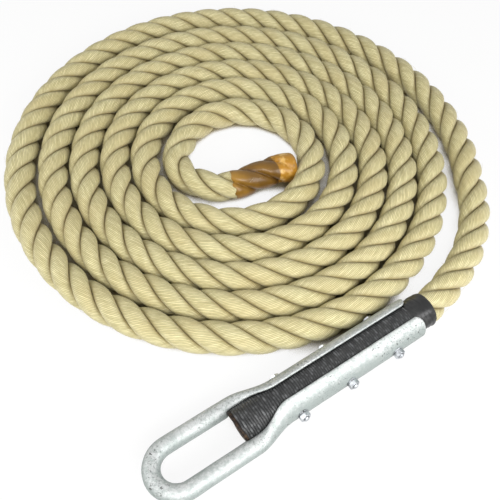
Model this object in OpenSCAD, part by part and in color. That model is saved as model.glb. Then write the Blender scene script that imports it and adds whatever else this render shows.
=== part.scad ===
// Three-strand climbing rope, laid out flat in one coil. Its upper end is held in a forged
// hanging eye by two half-round shells and three through bolts. Its lower end is dipped in resin.
// Millimetres, +Z up. The rope lies on the plane Z = 0, and the origin is the middle of the
// footprint. The eye's own frame has X along the bar from the crown to the mouth, and Z up.

/* [Rope] */
// Diameter of the rope as it lies
rope_d = 36; // [30:1:40]
// Gap between neighbouring turns
turn_gap = 0.6; // [0.3:0.1:3]
// Radius of the outermost half turn, to the middle of the rope
coil_r = 275.5; // [260:0.5:330]
// Number of half turns
half_turns = 11; // [7:2:11]
// Extra room inside the first half turn, where the coil is slack
first_slack = 4.5; // [0:0.5:12]
// Extra room inside the second half turn
second_slack = 1; // [0:0.5:12]
// Extra room inside each of the innermost half turns
inner_slack = 2; // [0:0.5:6]
// How far the resin draws in the radius of the dipped end
dip_shrink = 0.6; // [0.2:0.1:2]
// Rounding of the dipped end's edge
dip_edge = 9; // [2:0.5:12]

/* [Hanging eye] */
// Diameter of the bent bar
bar_d = 17.5; // [12:0.5:20]
// Inner width of the eye, which is also the width of the crown's bend
eye_w = 30.5; // [26:0.5:44]
// Inner length of the eye, from the crown to the sealed end of the rope
eye_len = 82; // [60:0.5:120]
// Length of leg beside the end of the rope, before the neck
leg_lap = 7; // [2:0.5:20]
// Length of each neck, where the bar flattens into a shell
neck_l = 39; // [25:1:60]

/* [Clamp shells] */
// Length of each shell
shell_l = 171.5; // [160:1:240]
// Wall of each shell
shell_t = 4.5; // [3:0.5:7]
// Angle from the middle of a shell to each of its edges
shell_half = 66; // [45:1:75]
// Rounding of the shell's corners at the mouth
corner_r = 8; // [2:1:12]
// Depth of the flats under heads and washers
spot_depth = 0.8; // [0.3:0.1:1.5]
// Room between the flats' edge and the washer
spot_margin = 0.9; // [0.3:0.1:2]
// Gap between the bracket's bolt heads and the outer turn of the coil
side_gap = 0.3; // [0.3:0.1:10]
// Angle of the bar from +X
clamp_angle = 38.6; // [36:0.1:42]
// How far the bracket is rolled about its own axis, with its near side raised
clamp_roll = 5.5; // [0:0.5:8]
// Distance of the mouth past the place where the bracket is nearest to the coil
mouth_past = 54.5; // [50:0.1:70]

/* [Whipping and tape] */
// Thickness of the whipping on the clamped rope
whip_t = 1.2; // [0.8:0.1:2]
// Radial clearance of the whipping in the shells
whip_clearance = 0.3; // [0.1:0.05:0.8]
// How far the whipping squeezes the rope's radius
squeeze = 1; // [0.5:0.1:2]
// Thickness of the resin seal on the rope's upper end
seal_t = 1.5; // [0.5:0.1:4]
// Length of mouth tape outside the shells
tape_out = 20; // [5:1:40]
// Length of mouth tape inside the shells
tape_in = 7; // [2:1:20]

/* [Fasteners] */
// Number of through bolts
bolt_count = 3; // [2:1:3]
// Thread size of the bolts
bolt_d = 6; // [5:1:8]
// Distance from the shell's start to the first bolt
bolt_inset = 11; // [10:0.5:30]
// Distance from bolt to bolt
bolt_pitch = 60.5; // [40:0.5:65]
// Radial clearance of the bolts in the shells
bolt_clearance = 0.3; // [0.1:0.05:0.6]
// Radial clearance of the bolts in the rope, the whipping, the washers and the nuts
thread_clearance = 0.1; // [0.05:0.05:0.3]
// Width across the flats of heads and nuts
hex_af = 10; // [8:0.5:13]
// Height of the bolt heads
head_h = 3; // [2.5:0.5:6]
// Height of the nuts
nut_h = 5; // [4:0.5:7]
// Length of bolt past the nut
bolt_tip = 1.5; // [0.5:0.5:6]
// Outer diameter of the spring washers
washer_d = 11.8; // [10:0.2:15]
// Thickness of the spring washers
washer_t = 1.6; // [1:0.1:2.5]
// Angle of the slit in the spring washers
washer_slit = 10; // [4:1:20]

/* [Hidden] */
$fn = 64;
hull_fn = 32;
tube_sides = 12;
span_steps = 2;
slice = 1;
cut = 1;
rope_r = rope_d / 2;
turn_pitch = rope_d + turn_gap;

// Lead: the rope between the coil and the mouth, from the outer end of the coil.
// Each point is [along X, along Y, height above the rope's own radius].
lead_points = [
    [2, -19, 0], [2.2, -40, 0], [0.5, -60, 0], [-3, -79, 0.1], [-8, -97, 0.4],
    [-14.5, -115, 0.8], [-22.5, -132, 1.3], [-32, -148, 1.9], [-42, -163, 2.6], [-53, -178, 3.2]];

// Tail: the rope inside the coil, from its inner end. The resin starts at the point dip_start.
tail_points = [
    [-1, -14, 0], [5, -29, 0], [17.5, -40.5, 0], [31.5, -47.5, 0], [45, -50.5, 0], [59, -50.5, 0],
    [72.5, -46, 0], [88, -37, 0], [103.5, -26.5, 0], [118, -17.5, 0], [128.5, -12, 0], [137, -9, 0]];
dip_start = 7;

// Half turn k runs counter-clockwise from k * 180 degrees, and they get smaller inwards. The
// middles of the half turns alternate along X, so that each meets the next on one tangent.
function slack(k) = k == 0 ? first_slack : k == 1 ? second_slack : k > half_turns - 4 ? inner_slack : 0;
function turn_drop(k) = turn_pitch / 2 + slack(k);
function turn_r(k) = k == 0 ? coil_r : turn_r(k - 1) - turn_drop(k - 1);
function turn_x(k) = k == 0 ? turn_drop(0) - turn_pitch / 4 : turn_x(k - 1) + turn_drop(k - 1) * cos(k * 180);
function turn_end(k) = [turn_x(k) + turn_r(k) * cos((k + 1) * 180), 0, rope_r];
coil_outer_end = [turn_x(0) + turn_r(0), 0, rope_r];
coil_inner_end = turn_end(half_turns - 1);

// Places along the bracket, from the middle of the bar at the crown
leg_y = (eye_w + bar_d) / 2;
seal_x = bar_d / 2 + eye_len;
whip_x = seal_x + seal_t;
neck_x = whip_x + leg_lap;
shell_x = neck_x + neck_l;
shell_end = shell_x + shell_l;
tape_x = shell_end - tape_in;
mouth_x = shell_end + tape_out;
function bolt_x(i) = shell_x + bolt_inset + (i - 1) * bolt_pitch;

// Radii about the bracket's axis
core_r = rope_r - squeeze;
whip_r = core_r + whip_t;
shell_ir = whip_r + whip_clearance;
shell_or = shell_ir + shell_t;
spot_y = shell_or - spot_depth;
spot_r = washer_d / 2 + spot_margin;
hex_r = hex_af / 2 / cos(30);
edge_z = shell_or * sin(shell_half);
clamp_z = shell_or * sin(shell_half + clamp_roll);

// The bracket lies beside the second half turn: nearest is the point of its axis beside turn_x(1)
axis_dir = [cos(clamp_angle), sin(clamp_angle), 0];
axis_side = [sin(clamp_angle), -cos(clamp_angle), 0];
axis_gap = turn_r(1) + rope_r + side_gap + spot_y + head_h;
mouth_at = [turn_x(1), 0, clamp_z] + axis_gap * axis_side + mouth_past * axis_dir;
crown_at = mouth_at - mouth_x * axis_dir;

// Middle of the footprint, so that the origin lies under it
bend_at = crown_at + leg_y * axis_dir;
lead_x = max([for (p = lead_points) coil_outer_end.x + p.x]);
x_low = turn_x(1) - turn_r(1) - rope_r;
x_high = lead_x + rope_r;
y_low = bend_at.y - leg_y * sqrt(1 - pow(sin(clamp_roll) * cos(clamp_angle), 2)) - bar_d / 2;
y_high = coil_r + rope_r;
middle = [(x_low + x_high) / 2, (y_low + y_high) / 2, 0];

BOLTS = [for (i = [1:bolt_count]) str("clamp_bolt_", i)];
WASHERS = [for (i = [1:bolt_count]) str("spring_washer_", i)];
NUTS = [for (i = [1:bolt_count]) str("hex_nut_", i)];

// ---- Curves and tubes ----

function unit(v) = v / norm(v);

// One point of a Catmull-Rom curve between b and c
function curve(a, b, c, d, t) =
    0.5 * (2 * b + (c - a) * t + (2 * a - 5 * b + 4 * c - d) * t * t + (3 * b - a - 3 * c + d) * t * t * t);

// A smooth run through points, that starts along one heading and ends along another
function smooth(points, heading_in, heading_out) =
    let (last = len(points) - 1,
         before = points[1] - 2 * norm(points[1] - points[0]) * heading_in,
         after = points[last - 1] + 2 * norm(points[last] - points[last - 1]) * heading_out,
         p = concat([before], points, [after]))
    concat([for (i = [1:last], j = [0:span_steps - 1]) curve(p[i - 1], p[i], p[i + 1], p[i + 2], j / span_steps)],
           [points[last]]);

// The direction of a run at each of its points, with the two ends given
function headings(run, heading_in, heading_out) =
    [for (i = [0:len(run) - 1])
        i == 0 ? heading_in : i == len(run) - 1 ? heading_out : unit(run[i + 1] - run[i - 1])];

// The points of one ring about the middle c, square to the heading h
function ring(c, h, r) =
    let (across = unit(cross(h, [0, 0, 1])), up = cross(across, h))
    [for (j = [0:tube_sides - 1])
        let (a = j * 360 / tube_sides) c + r * (cos(a) * across + sin(a) * up)];

// A closed tube through rings, each given as [middle, heading, radius]
module tube(rings) {
    n = tube_sides;
    count = len(rings);
    walls = [for (i = [0:count - 2], j = [0:n - 1])
        [i * n + j, i * n + (j + 1) % n, (i + 1) * n + (j + 1) % n, (i + 1) * n + j]];
    start_face = [[for (j = [n - 1:-1:0]) j]];
    end_face = [[for (j = [0:n - 1]) (count - 1) * n + j]];
    polyhedron(points = [for (g = rings) each ring(g[0], g[1], g[2])],
               faces = concat(walls, start_face, end_face), convexity = 4);
}

lead_route = concat([coil_outer_end], [for (p = lead_points) coil_outer_end + p], [mouth_at]);
lead_run = smooth(lead_route, [0, -1, 0], -axis_dir);
lead_headings = headings(lead_run, [0, -1, 0], -axis_dir);

tail_route = concat([coil_inner_end], [for (p = tail_points) coil_inner_end + p]);
tail_heading = unit(tail_points[len(tail_points) - 1] - tail_points[len(tail_points) - 2]);
tail_run = smooth(tail_route, [0, -1, 0], tail_heading);
tail_headings = headings(tail_run, [0, -1, 0], tail_heading);
dip_ring = dip_start * span_steps;

// ---- Placing ----

module placed() { translate(-middle) children(); }

module on_bracket() {
    placed() translate(crown_at) rotate([0, 0, clamp_angle]) rotate([-clamp_roll, 0, 0]) children();
}

// Turns a shape drawn in X and Y and raised in Z, so that it runs along the bracket's X
module along_bar() { rotate([90, 0, 90]) children(); }

// A side of +1 keeps the child on the far side of the bar, and -1 puts it on the near side
module on_side(side) { mirror([0, side > 0 ? 0 : 1, 0]) children(); }

// Puts a shape that grows along Z through the bar, from the far side towards the near side
module across_bar(i, y) { translate([bolt_x(i), y, 0]) rotate([90, 0, 0]) children(); }

module bolt_holes(r) {
    for (i = [1:bolt_count]) across_bar(i, shell_or + cut) cylinder(r = r, h = 2 * (shell_or + cut));
}

module rod_of(r, x_from, x_to) { translate([x_from, 0, 0]) along_bar() cylinder(r = r, h = x_to - x_from); }

// ---- Rope ----

module half_turn(k) {
    translate([turn_x(k), 0, rope_r]) rotate([0, 0, k * 180])
        rotate_extrude(angle = 180) translate([turn_r(k), 0]) circle(r = rope_r);
}

module rope_coil() { color("#cdbf9b") placed() for (k = [0:half_turns - 1]) half_turn(k); }

module rope_lead() {
    color("#cdbf9b") placed()
        tube([for (i = [0:len(lead_run) - 1]) [lead_run[i], lead_headings[i], rope_r]]);
}

module rope_tail() {
    color("#cdbf9b") placed() tube([for (i = [0:dip_ring]) [tail_run[i], tail_headings[i], rope_r]]);
}

module dipped_end() {
    r = rope_r - dip_shrink;
    last = len(tail_run) - 1;
    color("#8a5a22") placed() tube(concat(
        [for (i = [dip_ring:last]) [tail_run[i], tail_headings[i], r]],
        [for (a = [30:30:90])
            [tail_run[last] + dip_edge * sin(a) * tail_heading, tail_heading, r - dip_edge * (1 - cos(a))]]));
}

module rope_clamped_end() {
    color("#cdbf9b") on_bracket() difference() {
        rod_of(core_r, whip_x, mouth_x);
        bolt_holes(bolt_d / 2 + thread_clearance);
    }
}

// ---- Whipping, tape and seal ----

module sleeve(x_from, x_to) {
    difference() {
        rod_of(whip_r, x_from, x_to);
        rod_of(core_r, x_from - cut, x_to + cut);
    }
}

module end_whipping() {
    color("#1c1b1a") on_bracket() difference() {
        sleeve(whip_x, tape_x);
        bolt_holes(bolt_d / 2 + thread_clearance);
    }
}

module mouth_tape() { color("#232120") on_bracket() sleeve(tape_x, mouth_x); }

module end_seal() { color("#4a3524") on_bracket() rod_of(whip_r, seal_x, whip_x); }

// ---- Hanging eye ----

module crown() {
    translate([leg_y, 0, 0]) rotate([0, 0, 90])
        rotate_extrude(angle = 180) translate([leg_y, 0]) circle(d = bar_d);
}

module leg() { translate([0, leg_y, 0]) rod_of(bar_d / 2, leg_y, neck_x); }

module shell_section() {
    reach = 2 * shell_or;
    intersection() {
        difference() {
            circle(r = shell_or);
            circle(r = shell_ir);
        }
        polygon([[0, 0], [reach, -reach * tan(shell_half)], [reach, reach * tan(shell_half)]]);
    }
}

module neck() {
    hull() {
        translate([neck_x, leg_y, 0]) along_bar() cylinder(d = bar_d, h = slice, $fn = hull_fn);
        translate([shell_x - slice, 0, 0]) along_bar() linear_extrude(slice) shell_section($fn = hull_fn);
    }
}

module hanging_loop() {
    color("#9fa3a4") on_bracket() {
        crown();
        for (side = [-1, 1]) on_side(side) difference() {
            union() {
                leg();
                neck();
            }
            rod_of(shell_ir, seal_x - whip_clearance, shell_x + cut);
        }
    }
}

module corner_cut() {
    translate([shell_end - corner_r, 0, edge_z - corner_r]) rotate([90, 0, 0])
        linear_extrude(4 * shell_or, center = true) difference() {
            square(corner_r + cut);
            circle(r = corner_r);
        }
}

module clamp_shell() {
    difference() {
        translate([shell_x, 0, 0]) along_bar() linear_extrude(shell_l) shell_section();
        bolt_holes(bolt_d / 2 + bolt_clearance);
        for (i = [1:bolt_count]) across_bar(i, shell_or + cut) cylinder(r = spot_r, h = spot_depth + cut);
        for (up = [0, 1]) mirror([0, 0, up]) corner_cut();
    }
}

module near_shell() { color("#9fa3a4") on_bracket() on_side(-1) clamp_shell(); }

module far_shell() { color("#9fa3a4") on_bracket() on_side(1) clamp_shell(); }

// ---- Fasteners ----

module hexagon(h) {
    intersection() {
        cylinder(r = hex_r, h = h, $fn = 6);
        cylinder(r1 = hex_r, r2 = hex_af / 2 * 0.97, h = h);
    }
}

module clamp_bolt(i) {
    shank = 2 * spot_y + washer_t + nut_h + bolt_tip;
    color("#c2c5c6") on_bracket() across_bar(i, spot_y) {
        cylinder(d = bolt_d, h = shank);
        mirror([0, 0, 1]) hexagon(head_h);
    }
}

module spring_washer(i) {
    bore = bolt_d / 2 + thread_clearance;
    color("#b4b7b8") on_bracket() across_bar(i, -spot_y) rotate([0, 0, 90 * i])
        rotate_extrude(angle = 360 - washer_slit) translate([bore, 0]) square([washer_d / 2 - bore, washer_t]);
}

module hex_nut(i) {
    color("#c2c5c6") on_bracket() across_bar(i, -spot_y - washer_t) difference() {
        hexagon(nut_h);
        translate([0, 0, -cut]) cylinder(r = bolt_d / 2 + thread_clearance, h = nut_h + 2 * cut);
    }
}

rope_coil();
rope_lead();
rope_tail();
rope_clamped_end();
dipped_end();
end_whipping();
mouth_tape();
end_seal();
hanging_loop();
near_shell();
far_shell();
for (i = [1:bolt_count]) clamp_bolt(i);
for (i = [1:bolt_count]) spring_washer(i);
for (i = [1:bolt_count]) hex_nut(i);
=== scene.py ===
"""A three-strand climbing rope in a flat coil, with its dipped end and its bolted hanging eye.

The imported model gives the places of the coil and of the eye. The rope's strands, the forging, the
whipping, the tape, the resin and the fasteners are made here over it, in metres and in the same frame.
"""
import logging
import math
from dataclasses import dataclass, field
from enum import Enum
from typing import Iterable, Sequence

import bmesh
import bpy
import numpy as np
from mathutils import Matrix, Vector, noise


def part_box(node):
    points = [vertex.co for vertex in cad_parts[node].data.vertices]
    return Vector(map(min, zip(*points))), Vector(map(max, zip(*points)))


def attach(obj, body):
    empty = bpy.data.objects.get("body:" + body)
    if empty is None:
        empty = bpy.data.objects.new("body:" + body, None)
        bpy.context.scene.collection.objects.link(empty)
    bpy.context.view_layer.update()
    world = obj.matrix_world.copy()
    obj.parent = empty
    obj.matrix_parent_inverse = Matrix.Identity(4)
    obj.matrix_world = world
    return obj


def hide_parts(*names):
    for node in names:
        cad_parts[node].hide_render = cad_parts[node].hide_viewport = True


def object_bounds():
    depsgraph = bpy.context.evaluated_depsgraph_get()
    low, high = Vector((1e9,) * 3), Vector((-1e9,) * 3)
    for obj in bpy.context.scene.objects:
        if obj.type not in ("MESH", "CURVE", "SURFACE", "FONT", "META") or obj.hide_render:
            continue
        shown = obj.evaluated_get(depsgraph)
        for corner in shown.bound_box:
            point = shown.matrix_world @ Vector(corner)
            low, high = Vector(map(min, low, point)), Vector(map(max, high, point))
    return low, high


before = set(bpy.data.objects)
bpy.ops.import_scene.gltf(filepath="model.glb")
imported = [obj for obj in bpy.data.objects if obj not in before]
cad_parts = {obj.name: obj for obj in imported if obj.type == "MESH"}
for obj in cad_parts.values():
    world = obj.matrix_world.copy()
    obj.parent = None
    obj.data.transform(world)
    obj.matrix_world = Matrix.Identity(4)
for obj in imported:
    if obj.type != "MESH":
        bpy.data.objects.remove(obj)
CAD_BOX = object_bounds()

LOG = logging.getLogger("climbing_rope")
MM = 0.001
TAU = 2 * math.pi
BODY = "root"
SHARP_EDGE = math.radians(35)


# ---------------------------------------------------------------------------
# Nodes: one way to add any node, and numbers that read as Python maths
# ---------------------------------------------------------------------------

class Number:
    """A number that a node tree works out. Python's operators on it add Math nodes."""

    def __init__(self, tree: "Tree", socket: bpy.types.NodeSocket) -> None:
        """Keep the tree and the socket that gives the number."""
        self.tree, self.socket = tree, socket

    def math(self, operation: str, *others: "Number | float") -> "Number":
        """Add one Math node with this number as its first value.

        Args:
            operation: the Math node's operation.
            others: the other values, in the node's order.

        Returns:
            The node's result.
        """
        inputs = {i: value for i, value in enumerate((self, *others))}
        return self.tree.number("ShaderNodeMath", {"operation": operation}, inputs)

    def __add__(self, other: "Number | float") -> "Number":
        """Return self + other."""
        return self.math("ADD", other)

    def __sub__(self, other: "Number | float") -> "Number":
        """Return self - other."""
        return self.math("SUBTRACT", other)

    def __mul__(self, other: "Number | float") -> "Number":
        """Return self * other."""
        return self.math("MULTIPLY", other)

    def __truediv__(self, other: "Number | float") -> "Number":
        """Return self / other."""
        return self.math("DIVIDE", other)

    def __pow__(self, other: "Number | float") -> "Number":
        """Return self ** other."""
        return self.math("POWER", other)

    def __neg__(self) -> "Number":
        """Return -self."""
        return self.math("MULTIPLY", -1.0)

    __radd__ = __add__
    __rmul__ = __mul__

    def __rsub__(self, other: float) -> "Number":
        """Return other - self."""
        return -self + other

    def __abs__(self) -> "Number":
        """Return the size of the number without its sign."""
        return self.math("ABSOLUTE")

    def sine(self) -> "Number":
        """Return the sine of an angle in radians."""
        return self.math("SINE")

    def cosine(self) -> "Number":
        """Return the cosine of an angle in radians."""
        return self.math("COSINE")

    def between(self, low: float, high: float, to_low: float = 0.0, to_high: float = 1.0) -> "Number":
        """Map a range smoothly onto another one, and hold the ends.

        Args:
            low: the value that gives to_low.
            high: the value that gives to_high.
            to_low: the result at low and below it.
            to_high: the result at high and above it.

        Returns:
            The mapped number.
        """
        values = {"Value": self, "From Min": low, "From Max": high, "To Min": to_low, "To Max": to_high}
        return self.tree.number("ShaderNodeMapRange", {"interpolation_type": "SMOOTHSTEP"}, values)


class Tree:
    """A node tree with one method that adds any node."""

    def __init__(self, nodes: bpy.types.NodeTree) -> None:
        """Wrap a tree of nodes."""
        self.nodes = nodes

    def add(self, kind: str, settings: dict | None = None, inputs: dict | None = None) -> bpy.types.Node:
        """Add one node.

        Args:
            kind: the node's type.
            settings: the node's own properties, which are set first.
            inputs: socket name or number to a value, a Number or another node's socket.

        Returns:
            The new node.
        """
        node = self.nodes.nodes.new(kind)
        for name, value in (settings or {}).items():
            setattr(node, name, value)
        for key, value in (inputs or {}).items():
            socket = node.inputs[key]
            if isinstance(value, Number):
                value = value.socket
            if isinstance(value, bpy.types.NodeSocket):
                self.nodes.links.new(value, socket)
            else:
                socket.default_value = value
        return node

    def number(self, kind: str, settings: dict | None = None, inputs: dict | None = None,
               output: int | str = 0) -> Number:
        """Add one node and return one of its outputs as a Number."""
        return Number(self, self.add(kind, settings, inputs).outputs[output])

    def rays(self, *kinds: str) -> Number:
        """Return 1 for rays of any of these kinds, and 0 for all others."""
        path = self.add("ShaderNodeLightPath")
        seen = [Number(self, path.outputs[f"Is {kind} Ray"]) for kind in kinds]
        while len(seen) > 1:
            seen[:2] = [seen[0].math("MAXIMUM", seen[1])]
        return seen[0]


class Shader(Tree):
    """The node tree of one material."""

    def __init__(self, name: str) -> None:
        """Start a material with an empty tree."""
        self.material = bpy.data.materials.new(name)
        self.material.use_nodes = True
        super().__init__(self.material.node_tree)
        self.nodes.nodes.clear()
        self.place = self.add("ShaderNodeTexCoord").outputs["Object"]

    def attribute(self, name: str) -> Number:
        """Return a number that the mesh holds at each point."""
        return self.number("ShaderNodeAttribute", {"attribute_name": name}, output="Fac")

    def noise(self, scale: float, detail: float = 3.0, roughness: float = 0.55,
              where: bpy.types.NodeSocket | None = None) -> Number:
        """Return a cloudy pattern from 0 to 1.

        Args:
            scale: how many clouds there are to a metre.
            detail: how many finer layers there are.
            roughness: how strong the finer layers are.
            where: the coordinates, or the object's own.

        Returns:
            The pattern.
        """
        values = {"Vector": where or self.place, "Scale": scale, "Detail": detail, "Roughness": roughness}
        return self.number("ShaderNodeTexNoise", None, values)

    def point(self, x: Number | float, y: Number | float, z: Number | float) -> bpy.types.NodeSocket:
        """Return a vector of three numbers."""
        return self.add("ShaderNodeCombineXYZ", None, {"X": x, "Y": y, "Z": z}).outputs[0]

    def mix(self, share: Number | float, low: object, high: object) -> bpy.types.NodeSocket:
        """Mix two colours.

        Args:
            share: how much of the second colour there is.
            low: the first colour, as three numbers or a socket.
            high: the second colour.

        Returns:
            The mixed colour's socket.
        """
        def colour(value: object) -> object:
            """Give three numbers their fourth one, and leave a socket as it is."""
            return value if isinstance(value, bpy.types.NodeSocket) else (*value, 1.0)
        settings = {"data_type": "RGBA", "blend_type": "MIX", "clamp_factor": True}
        node = self.add("ShaderNodeMix", settings, {0: share, 6: colour(low), 7: colour(high)})
        return node.outputs[2]

    def bump(self, height: Number, depth: float, strength: float = 1.0) -> bpy.types.NodeSocket:
        """Turn a height into a surface normal.

        Args:
            height: the height, in units of depth.
            depth: how many metres a height of 1 stands out.
            strength: how much of the relief shows.

        Returns:
            The normal's socket.
        """
        values = {"Strength": strength, "Distance": depth, "Height": height}
        return self.add("ShaderNodeBump", None, values).outputs[0]

    def openness(self, reach: float, rays: int = 8) -> Number:
        """Return how open the surface lies, from 0 in a crevice to 1.

        Args:
            reach: how far away other surfaces still count, in metres.
            rays: how many ways are tried at each point.

        Returns:
            The openness.
        """
        return self.number("ShaderNodeAmbientOcclusion", {"samples": rays}, {"Distance": reach}, "AO")

    def finish(self, **sockets: object) -> bpy.types.Material:
        """Join the main shader to the output.

        Args:
            sockets: the shader's sockets, with spaces as underscores, and their values or links.

        Returns:
            The finished material.
        """
        values = {}
        for name, value in sockets.items():
            if isinstance(value, tuple):
                value = (*value, 1.0)
            values[name.replace("_", " ")] = value
        main = self.add("ShaderNodeBsdfPrincipled", None, values)
        self.add("ShaderNodeOutputMaterial", None, {"Surface": main.outputs[0]})
        return self.material


class Recipe(Tree):
    """A Geometry Nodes tree with named inputs."""

    def __init__(self, name: str, **inputs: str) -> None:
        """Start a tree.

        Args:
            name: the tree's name.
            inputs: input names, with spaces as underscores, and the kind of each socket.
        """
        super().__init__(bpy.data.node_groups.new(name, "GeometryNodeTree"))
        sockets = [("Geometry", "INPUT", "Geometry"), ("Geometry", "OUTPUT", "Geometry")]
        sockets += [(key.replace("_", " "), "INPUT", kind) for key, kind in inputs.items()]
        for socket_name, way, kind in sockets:
            self.nodes.interface.new_socket(name=socket_name, in_out=way, socket_type=f"NodeSocket{kind}")
        self.inlet = self.nodes.nodes.new("NodeGroupInput")

    def given(self, name: str) -> Number:
        """Return one of the tree's own inputs."""
        return Number(self, self.inlet.outputs[name])

    def keep(self, geometry: bpy.types.NodeSocket, name: str, value: Number) -> bpy.types.NodeSocket:
        """Store a number at each point under a name, and return the geometry."""
        settings = {"data_type": "FLOAT", "domain": "POINT"}
        values = {"Geometry": geometry, "Name": name, "Value": value}
        return self.add("GeometryNodeStoreNamedAttribute", settings, values).outputs[0]

    def named(self, name: str) -> Number:
        """Return a number that the points already hold."""
        settings = {"data_type": "FLOAT"}
        return self.number("GeometryNodeInputNamedAttribute", settings, {"Name": name}, "Attribute")

    def close(self, geometry: bpy.types.NodeSocket) -> None:
        """End the tree with real geometry, smooth and in the given material."""
        real = self.add("GeometryNodeRealizeInstances", None, {"Geometry": geometry}).outputs[0]
        smooth = self.add("GeometryNodeSetShadeSmooth", None, {"Geometry": real}).outputs[0]
        values = {"Geometry": smooth, "Material": self.inlet.outputs["Material"]}
        dressed = self.add("GeometryNodeSetMaterial", None, values).outputs[0]
        self.add("NodeGroupOutput", None, {"Geometry": dressed})

    def make(self, piece_name: str, mesh: bpy.types.Mesh, **values: object) -> bpy.types.Object:
        """Run the tree on a mesh and keep the result as a plain mesh.

        Args:
            piece_name: the name of the new piece.
            mesh: the mesh that the tree starts from.
            values: the tree's inputs, with spaces as underscores.

        Returns:
            The new piece.
        """
        start = bpy.data.objects.new(f"{piece_name}_start", mesh)
        bpy.context.scene.collection.objects.link(start)
        modifier = start.modifiers.new("recipe", "NODES")
        modifier.node_group = self.nodes
        for item in self.nodes.interface.items_tree:
            key = item.name.replace(" ", "_")
            if item.item_type == "SOCKET" and item.in_out == "INPUT" and key in values:
                modifier[item.identifier] = values[key]
        bpy.context.view_layer.update()
        ready = start.evaluated_get(bpy.context.evaluated_depsgraph_get())
        result = bpy.data.meshes.new_from_object(ready)
        bpy.data.objects.remove(start)
        return as_piece(piece_name, result)


# ---------------------------------------------------------------------------
# Small helpers
# ---------------------------------------------------------------------------

def as_piece(name: str, mesh: bpy.types.Mesh) -> bpy.types.Object:
    """Put a mesh in the scene as an object at the origin."""
    mesh.name = name
    piece = bpy.data.objects.new(name, mesh)
    bpy.context.scene.collection.objects.link(piece)
    return piece


def dress(piece: bpy.types.Object, material: bpy.types.Material, slot: str,
          *nodes: str) -> bpy.types.Object:
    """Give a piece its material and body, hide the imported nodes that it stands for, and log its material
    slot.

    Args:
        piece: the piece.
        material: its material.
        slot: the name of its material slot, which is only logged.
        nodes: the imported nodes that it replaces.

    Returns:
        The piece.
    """
    piece.data.materials.clear()
    piece.data.materials.append(material)
    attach(piece, BODY)
    if nodes:
        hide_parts(*nodes)
    LOG.info("%s: %d faces, slot %s", piece.name, len(piece.data.polygons), slot)
    return piece


def grid_mesh(name: str, rows: np.ndarray, closed: bool = True, caps: bool = True) -> bpy.types.Mesh:
    """Make a mesh of rows of points.

    Args:
        name: the mesh's name.
        rows: the points, as rows by columns by 3.
        closed: whether each row is a loop.
        caps: whether the first and last rows are closed by a face.

    Returns:
        The mesh, with its normals outwards and smooth.
    """
    count, width = rows.shape[:2]
    faces = []
    for i in range(count - 1):
        for j in range(width if closed else width - 1):
            k = (j + 1) % width
            faces.append((i * width + j, i * width + k, (i + 1) * width + k, (i + 1) * width + j))
    if caps:
        faces.append(tuple(reversed(range(width))))
        faces.append(tuple(range((count - 1) * width, count * width)))
    mesh = bpy.data.meshes.new(name)
    mesh.from_pydata(rows.reshape(-1, 3).tolist(), [], faces)
    turn_outwards(mesh)
    mesh.shade_smooth()
    return mesh


def hold(mesh: bpy.types.Mesh, **values: np.ndarray) -> None:
    """Store numbers at the points of a mesh, each set of them under its name."""
    for name, numbers in values.items():
        attribute = mesh.attributes.new(name, "FLOAT", "POINT")
        attribute.data.foreach_set("value", np.asarray(numbers, np.float32).ravel())


def circle(columns: int) -> np.ndarray:
    """Return evenly spaced angles around a full turn, in radians."""
    return np.arange(columns) * TAU / columns


def unit(vectors: np.ndarray) -> np.ndarray:
    """Return vectors with a length of 1, and those without a length as they are."""
    return vectors / np.maximum(np.linalg.norm(vectors, axis=-1, keepdims=True), 1e-9)


def turn_outwards(mesh: bpy.types.Mesh) -> None:
    """Make the faces of a closed mesh point outwards, by the sign of its volume."""
    mesh.calc_loop_triangles()
    points = np.array([v.co for v in mesh.vertices], float)
    corners = np.array([t.vertices for t in mesh.loop_triangles], int)
    a, b, c = (points[corners[:, i]] for i in range(3))
    if float(np.einsum("ij,ij->i", a, np.cross(b, c)).sum()) < 0:
        mesh.flip_normals()


def smooth_step(x: np.ndarray | float, low: float, high: float) -> np.ndarray:
    """Go from 0 at low to 1 at high on a smooth curve."""
    t = np.clip((np.asarray(x, float) - low) / (high - low), 0.0, 1.0)
    return t * t * (3 - 2 * t)


def rough(points: np.ndarray, scale: float, depth: float, seed: float) -> np.ndarray:
    """Return a small height at each point, from a fixed cloudy pattern.

    Args:
        points: the points, with 3 numbers each.
        scale: how many clouds there are to a metre.
        depth: the largest height, in metres.
        seed: a shift of the pattern.

    Returns:
        The heights.
    """
    flat = points.reshape(-1, 3)
    heights = [noise.noise(Vector(p) * scale + Vector((seed, -seed, seed / 2))) for p in flat]
    return depth * np.array(heights).reshape(points.shape[:-1])


# ---------------------------------------------------------------------------
# Finishes
# ---------------------------------------------------------------------------

class Lay(Enum):
    """Which way the strands turn about the rope."""

    RIGHT_HANDED = 1
    LEFT_HANDED = -1


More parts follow.
